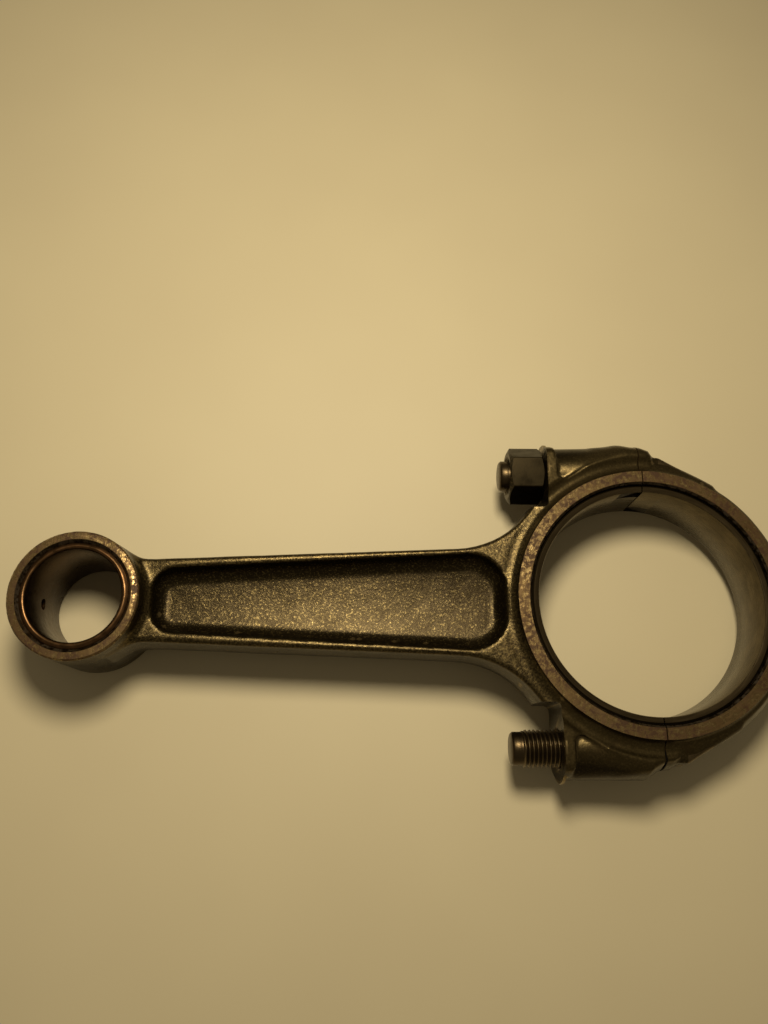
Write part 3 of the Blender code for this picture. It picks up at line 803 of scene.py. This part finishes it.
def make_rod(forged, machined, gap_shade):
    rod = sampled("rod_forging", rod_field, (-17.0, -44.0, -13.6), (138.2, 44.0, 13.6), 11)
    rod.data.materials.append(forged)
    for sign in (1, -1):
        combine(rod, seat_collar(sign, forged), "UNION", "MANIFOLD")
    cut(rod, box("cap_side", (ROD_FACE_X, -PAST_Y, -PAST_Z), (PAST_X, PAST_Y, PAST_Z), machined))
    for sign in (1, -1):
        low, high = sorted((sign * EYE_HALF_WIDTH, sign * PAST_Z))
        cut(rod, box("eye_face", (-30, -30, low), (20, 30, high), machined), eye_edge_cutter(sign, machined))
        cut(rod, ring_face_cutter(sign, machined), seat_cutter(sign, forged))
        # The parting wedge's faces are painted near black, as shade in the joint.
        cut(rod, bolt_hole_cutter(sign, machined), parting_wedge(sign, gap_shade))
    cut(rod, chamfered_bore("housing", HOUSING_RADIUS, RING_HALF_WIDTH, EDGE_BREAK, machined, BIG_END_X))
    cut(rod, chamfered_bore("eye_bore", EYE_BORE_RADIUS, EYE_HALF_WIDTH, EDGE_BREAK + 0.2, machined))
    low, high = tang_notch(1, ROD_FACE_X - TANG_LENGTH - TANG_CLEARANCE, ROD_FACE_X + 2)
    cut(rod, oil_hole_cutter(machined), box("tang", low, high, machined))
    return finish_piece(rod, "rod_body", "rod")


def head_pocket(sign, material):
    """Makes room in the cap for one bolt head, with a hair's breadth all round."""
    half = HEAD_HALF_WIDTH + HEAD_GAP
    low, high = sorted((sign * (HEAD_INNER_Y - HEAD_GAP), sign * PAST_Y))
    return box("head_pocket", (HEAD_SEAT_X, low, -half), (HEAD_END_X + HEAD_GAP, high, half), material)


def make_cap(forged, machined, gap_shade):
    cap = sampled("cap_forging", cap_field, (135.8, -44.0, -11.6), (174.6, 44.0, 11.6), 23)
    cap.data.materials.append(forged)
    cut(cap, box("rod_side", (100, -PAST_Y, -PAST_Z), (CAP_FACE_X, PAST_Y, PAST_Z), machined))
    for sign in (1, -1):
        cut(cap, ring_face_cutter(sign, machined), bolt_hole_cutter(sign, machined))
        # The parting wedge's faces are painted near black, as shade in the joint.
        cut(cap, parting_wedge(sign, gap_shade))
        cut(cap, head_pocket(sign, machined))
    cut(cap, chamfered_bore("housing", HOUSING_RADIUS, RING_HALF_WIDTH, EDGE_BREAK, machined, BIG_END_X))
    low, high = tang_notch(-1, CAP_FACE_X - 2, CAP_FACE_X + TANG_LENGTH + TANG_CLEARANCE)
    cut(cap, box("tang", low, high, machined))
    return finish_piece(cap, "big_end_cap", "cap")


def make_bush(material):
    upper = [
        (BUSH_BORE_RADIUS, BUSH_HALF_WIDTH - 0.6),
        (BUSH_BORE_RADIUS + 0.2, BUSH_HALF_WIDTH - 0.2),
        (BUSH_BORE_RADIUS + 0.55, BUSH_HALF_WIDTH),
        (BUSH_OUTER_RADIUS - 0.6, BUSH_HALF_WIDTH),
        (BUSH_OUTER_RADIUS, BUSH_HALF_WIDTH - 0.5),
    ]
    profile = [(radius, -height) for radius, height in upper] + upper[::-1]
    bush = turned("bronze_bush", profile, material)
    cut(bush, oil_hole_cutter(material))
    return finish_piece(bush, "small_end_bush", "rod", 40)


def tang_hollow(side, face, centre, material):
    """The sloping hollow in a shell's bore where the press pushed its tang out."""
    tail, front = face + side * 6.5, face - side * 1.0
    inside = SHELL_BORE_RADIUS - 2.0
    shallow, deep = SHELL_BORE_RADIUS - 0.9, SHELL_BORE_RADIUS + 1.35
    outline = [(tail, shallow), (front, deep), (front, inside), (tail, inside)]
    low, high = sorted((math.copysign(4.3, centre), math.copysign(7.9, centre)))
    return prism("hollow", outline[::side], low, high, material)


def make_shell(side, name, node, body, material, dark):
    """One bearing shell: side -1 sits in the rod and 1 in the cap."""
    upper = [
        (SHELL_BORE_RADIUS, SHELL_HALF_WIDTH - 0.45),
        (SHELL_BORE_RADIUS + 0.12, SHELL_HALF_WIDTH - 0.25),
        (SHELL_BORE_RADIUS + 1.2, SHELL_HALF_WIDTH),
        (SHELL_OUTER_RADIUS - 0.6, SHELL_HALF_WIDTH),
        (SHELL_OUTER_RADIUS, SHELL_HALF_WIDTH - 0.6),
    ]
    profile = [(radius, -height) for radius, height in upper] + upper[::-1]
    shell = turned(name, profile, material, x=BIG_END_X)
    face = ROD_FACE_X if side < 0 else CAP_FACE_X
    near, far = sorted((face, face + side * TANG_LENGTH))
    centre = -side * TANG_CENTRE_Z
    tang = box(
        "tang",
        (near, SHELL_BORE_RADIUS + 1, centre - TANG_WIDTH / 2),
        (far, SHELL_OUTER_RADIUS + TANG_DEPTH, centre + TANG_WIDTH / 2),
        material,
    )
    combine(shell, tang, "UNION", "MANIFOLD")
    near, far = sorted((face, face - side * PAST_X))
    cut(shell, box("other_half", (near, -PAST_Y, -PAST_Z), (far, PAST_Y, PAST_Z), material))
    # The tang hollow's faces are painted near black, as shade.
    cut(shell, tang_hollow(side, face, centre, dark))
    return finish_piece(shell, node, body)


def thread_depth(phase):
    """Depth of a rounded 60 degree thread at a phase from 0 to 1, the crest at 0.5."""
    slope = abs(phase - 0.5) * 2
    return 0.56 * min(max((slope - 0.12) / 0.78, 0), 1)


def bolt_radius(x, angle):
    """Radius of a rod bolt: dog point, then the helical thread, then the shank."""
    if x <= THREAD_START_X - 0.4:
        return BOLT_POINT_RADIUS - 0.5 * max(0.0, 1 - (x - BOLT_TIP_X) / 0.5) ** 1.6
    if x > THREAD_END_X:
        return BOLT_SHANK_RADIUS
    phase = (x / THREAD_PITCH - angle / (2 * math.pi)) % 1
    runout = min(1.0, max(0.0, (x - THREAD_START_X) / 0.8)) * min(1.0, (THREAD_END_X - x) / 0.8)
    swell = min(1.0, max(0.0, (x - THREAD_START_X) / 0.5))
    crest = BOLT_POINT_RADIUS + (BOLT_THREAD_RADIUS - 0.03 - BOLT_POINT_RADIUS) * swell
    return crest - thread_depth(phase) * max(runout, 0)


def bolt_shank(name, material):
    """The threaded shank of the upper bolt, closed at both ends."""
    steps = 96
    length = THREAD_END_X - THREAD_START_X
    count = int(length / (THREAD_PITCH / 12))
    xs = [BOLT_TIP_X, BOLT_TIP_X + 0.15, BOLT_TIP_X + 0.5, THREAD_START_X - 0.4]
    xs += [THREAD_START_X + length * i / count for i in range(count + 1)]
    xs += [THREAD_END_X + 0.6, HEAD_SEAT_X + 0.3]
    shape = bmesh.new()
    rings = []
    for x in xs:
        ring = []
        for step in range(steps):
            angle = 2 * math.pi * step / steps
            radius = bolt_radius(x, angle)
            ring.append(shape.verts.new((x, radius * math.cos(angle), radius * math.sin(angle))))
        rings.append(ring)
    for lower, upper in zip(rings, rings[1:]):
        for i in range(steps):
            j = (i + 1) % steps
            shape.faces.new((lower[i], lower[j], upper[j], upper[i]))
    shape.faces.new(rings[0][::-1])
    shape.faces.new(rings[-1])
    bmesh.ops.translate(shape, verts=shape.verts, vec=(0, BOLT_OFFSET, 0))
    return from_bmesh(name, shape, material)


def bolt_head(side, material):
    """A block head that follows the forged slope of the cap on its own side."""

    def own_side(x, y, s):
        return cap_field(x, side * y, s)

    head = sampled("head", own_side, (141.0, 28.0, -8.0), (151.0, 41.0, 8.0), 23)
    head.data.materials.append(material)
    half = HEAD_HALF_WIDTH
    low, high = (HEAD_SEAT_X + HEAD_GAP, HEAD_INNER_Y, -half), (HEAD_END_X, 45.0, half)
    combine(head, box("block", low, high, material), "INTERSECT", "MANIFOLD")
    return head


def make_bolt(side, name, node, material):
    """A rod bolt, built above the centre line and turned over for the lower side."""
    bolt = bolt_shank(name, material)
    combine(bolt, bolt_head(side, material), "UNION", "EXACT")
    if side < 0:
        bolt.data.transform(Matrix.Rotation(math.pi, 4, "X"))
    return finish_piece(bolt, node, "cap", 50)


def hexagon(name, material):
    """The nut's six flats with slightly rounded corners."""
    corner = NUT_ACROSS_FLATS / math.sqrt(3)
    angles = [NUT_CLOCKING + i * math.pi / 3 for i in range(6)]
    shape = bmesh.new()
    ends = []
    for x in (NUT_START_X, NUT_END_X):
        ends.append([shape.verts.new((x, -corner * math.sin(a), -corner * math.cos(a))) for a in angles])
    shape.faces.new(ends[0])
    shape.faces.new(ends[1][::-1])
    for i in range(6):
        j = (i + 1) % 6
        shape.faces.new((ends[0][i], ends[0][j], ends[1][j], ends[1][i]))
    upright = [edge for edge in shape.edges if abs(edge.verts[0].co.x - edge.verts[1].co.x) > 1]
    bmesh.ops.bevel(shape, geom=upright, offset=0.25, segments=3, affect="EDGES", profile=0.5)
    bmesh.ops.translate(shape, verts=shape.verts, vec=(0, BOLT_OFFSET, 0))
    return from_bmesh(name, shape, material)


def nut_envelope(material):
    """A coned disc that chamfers the hexagon's corners at both ends."""
    flat = NUT_ACROSS_FLATS / 2 - 0.35
    wide = NUT_ACROSS_FLATS / math.sqrt(3) + 1
    fall = (wide - flat) * math.tan(NUT_CHAMFER)
    start = NUT_START_X + 0.001
    profile = [
        (0, start),
        (flat, start),
        (wide, NUT_START_X + fall),
        (wide, NUT_END_X - fall),
        (flat, NUT_END_X),
        (0, NUT_END_X),
    ]
    return turned("envelope", profile, material, 160, True, y=BOLT_OFFSET)


def nut_bore_cutter(material):
    """The nut's hole, countersunk at both ends."""
    bore = BOLT_THREAD_RADIUS + 0.2
    wide = bore + 1.6
    profile = [
        (0, NUT_START_X - 1),
        (wide, NUT_START_X - 1),
        (bore, NUT_START_X + 0.6),
        (bore, NUT_END_X - 0.6),
        (wide, NUT_END_X + 1),
        (0, NUT_END_X + 1),
    ]
    return turned("nut_bore", profile, material, 96, True, y=BOLT_OFFSET)


def make_nut(material):
    nut = hexagon("steel_nut", material)
    combine(nut, nut_envelope(material), "INTERSECT", "EXACT")
    cut(nut, nut_bore_cutter(material), solver="EXACT")
    return finish_piece(nut, "rod_nut", "nut", 25)


# ---------------------------------------------------------------- scene


def make_floor():
    """A plain pale floor, well beyond the camera's view."""
    shape = bmesh.new()
    bmesh.ops.create_grid(shape, x_segments=8, y_segments=8, size=1.5)
    floor = from_bmesh("floor", shape)
    floor.location.z = cad_low.z
    n = Nodes("floor_look")
    tone = n.noise(60, 2)
    colour = n.mix(n.ramp(tone, (0.3, 0.0), (0.7, 1.0)), (0.68, 0.60, 0.41), (0.71, 0.63, 0.43))
    floor.data.materials.append(n.set(Base_Color=colour, Roughness=0.55))


def add_area(name, place, target, size, power, colour):
    light = bpy.data.lights.new(name, "AREA")
    light.shape = "DISK"
    light.size = size
    light.energy = power
    light.color = colour
    lamp = bpy.data.objects.new(name, light)
    lamp.visible_camera = False
    lamp.location = place
    lamp.rotation_euler = (Vector(place) - Vector(target)).to_track_quat("Z", "Y").to_euler()
    bpy.context.collection.objects.link(lamp)


def light_scene():
    """One soft warm lamp close above the rod, with a weak even fill around it."""
    scene = bpy.context.scene
    scene.view_settings.view_transform = "Standard"
    world = bpy.data.worlds.new("studio")
    scene.world = world
    world.use_nodes = True
    background = world.node_tree.nodes["Background"]
    background.inputs["Color"].default_value = (1.0, 0.82, 0.54, 1)
    background.inputs["Strength"].default_value = 0.13
    place, target = (-0.018, 0.10, 0.28), (-0.018, 0.03, 0.0)
    add_area("key", place, target, size=0.085, power=0.66, colour=(1.0, 0.86, 0.60))


def add_camera():
    """Almost straight down on the rod, leaning a little so that the near sides of the bores show."""
    lens = bpy.data.cameras.new("camera")
    lens.sensor_width = 36.0
    lens.lens = 29.715
    lens.clip_start = 0.01
    camera = bpy.data.objects.new("camera", lens)
    lean = Vector((0.2970528, -0.0306767, 0.0025692))
    place = Vector((66.085, -39.136, 207.055))
    turn = Matrix.Rotation(lean.length, 4, lean.normalized())
    camera.matrix_world = Matrix.Translation(PLACE @ place) @ turn
    bpy.context.collection.objects.link(camera)
    bpy.context.scene.camera = camera


def main():
    big_end = tuple(PLACE @ Vector((BIG_END_X, 0, 0)))
    small_end = tuple(SMALL_END)
    forged = forged_material()
    machined = machined_material(big_end, small_end)
    # Near black for the bottoms of gaps and hollows: painted shade.
    gap_shade = gap_shade_material()
    make_rod(forged, machined, gap_shade)
    make_cap(forged, machined, gap_shade)
    make_bush(bush_material(small_end))
    bearing = shell_material(big_end)
    make_shell(-1, "rod_half_shell", "rod_bearing_shell", "rod", bearing, gap_shade)
    make_shell(1, "cap_half_shell", "cap_bearing_shell", "cap", bearing, gap_shade)
    for side, name, node in ((1, "bolt_upper", "upper_rod_bolt"), (-1, "bolt_lower", "lower_rod_bolt")):
        axis = tuple(PLACE @ Vector((NUT_SEAT_X, side * BOLT_OFFSET, 0)))
        make_bolt(side, name, node, bolt_material(axis))
    make_nut(nut_material())
    make_floor()
    light_scene()
    add_camera()


main()
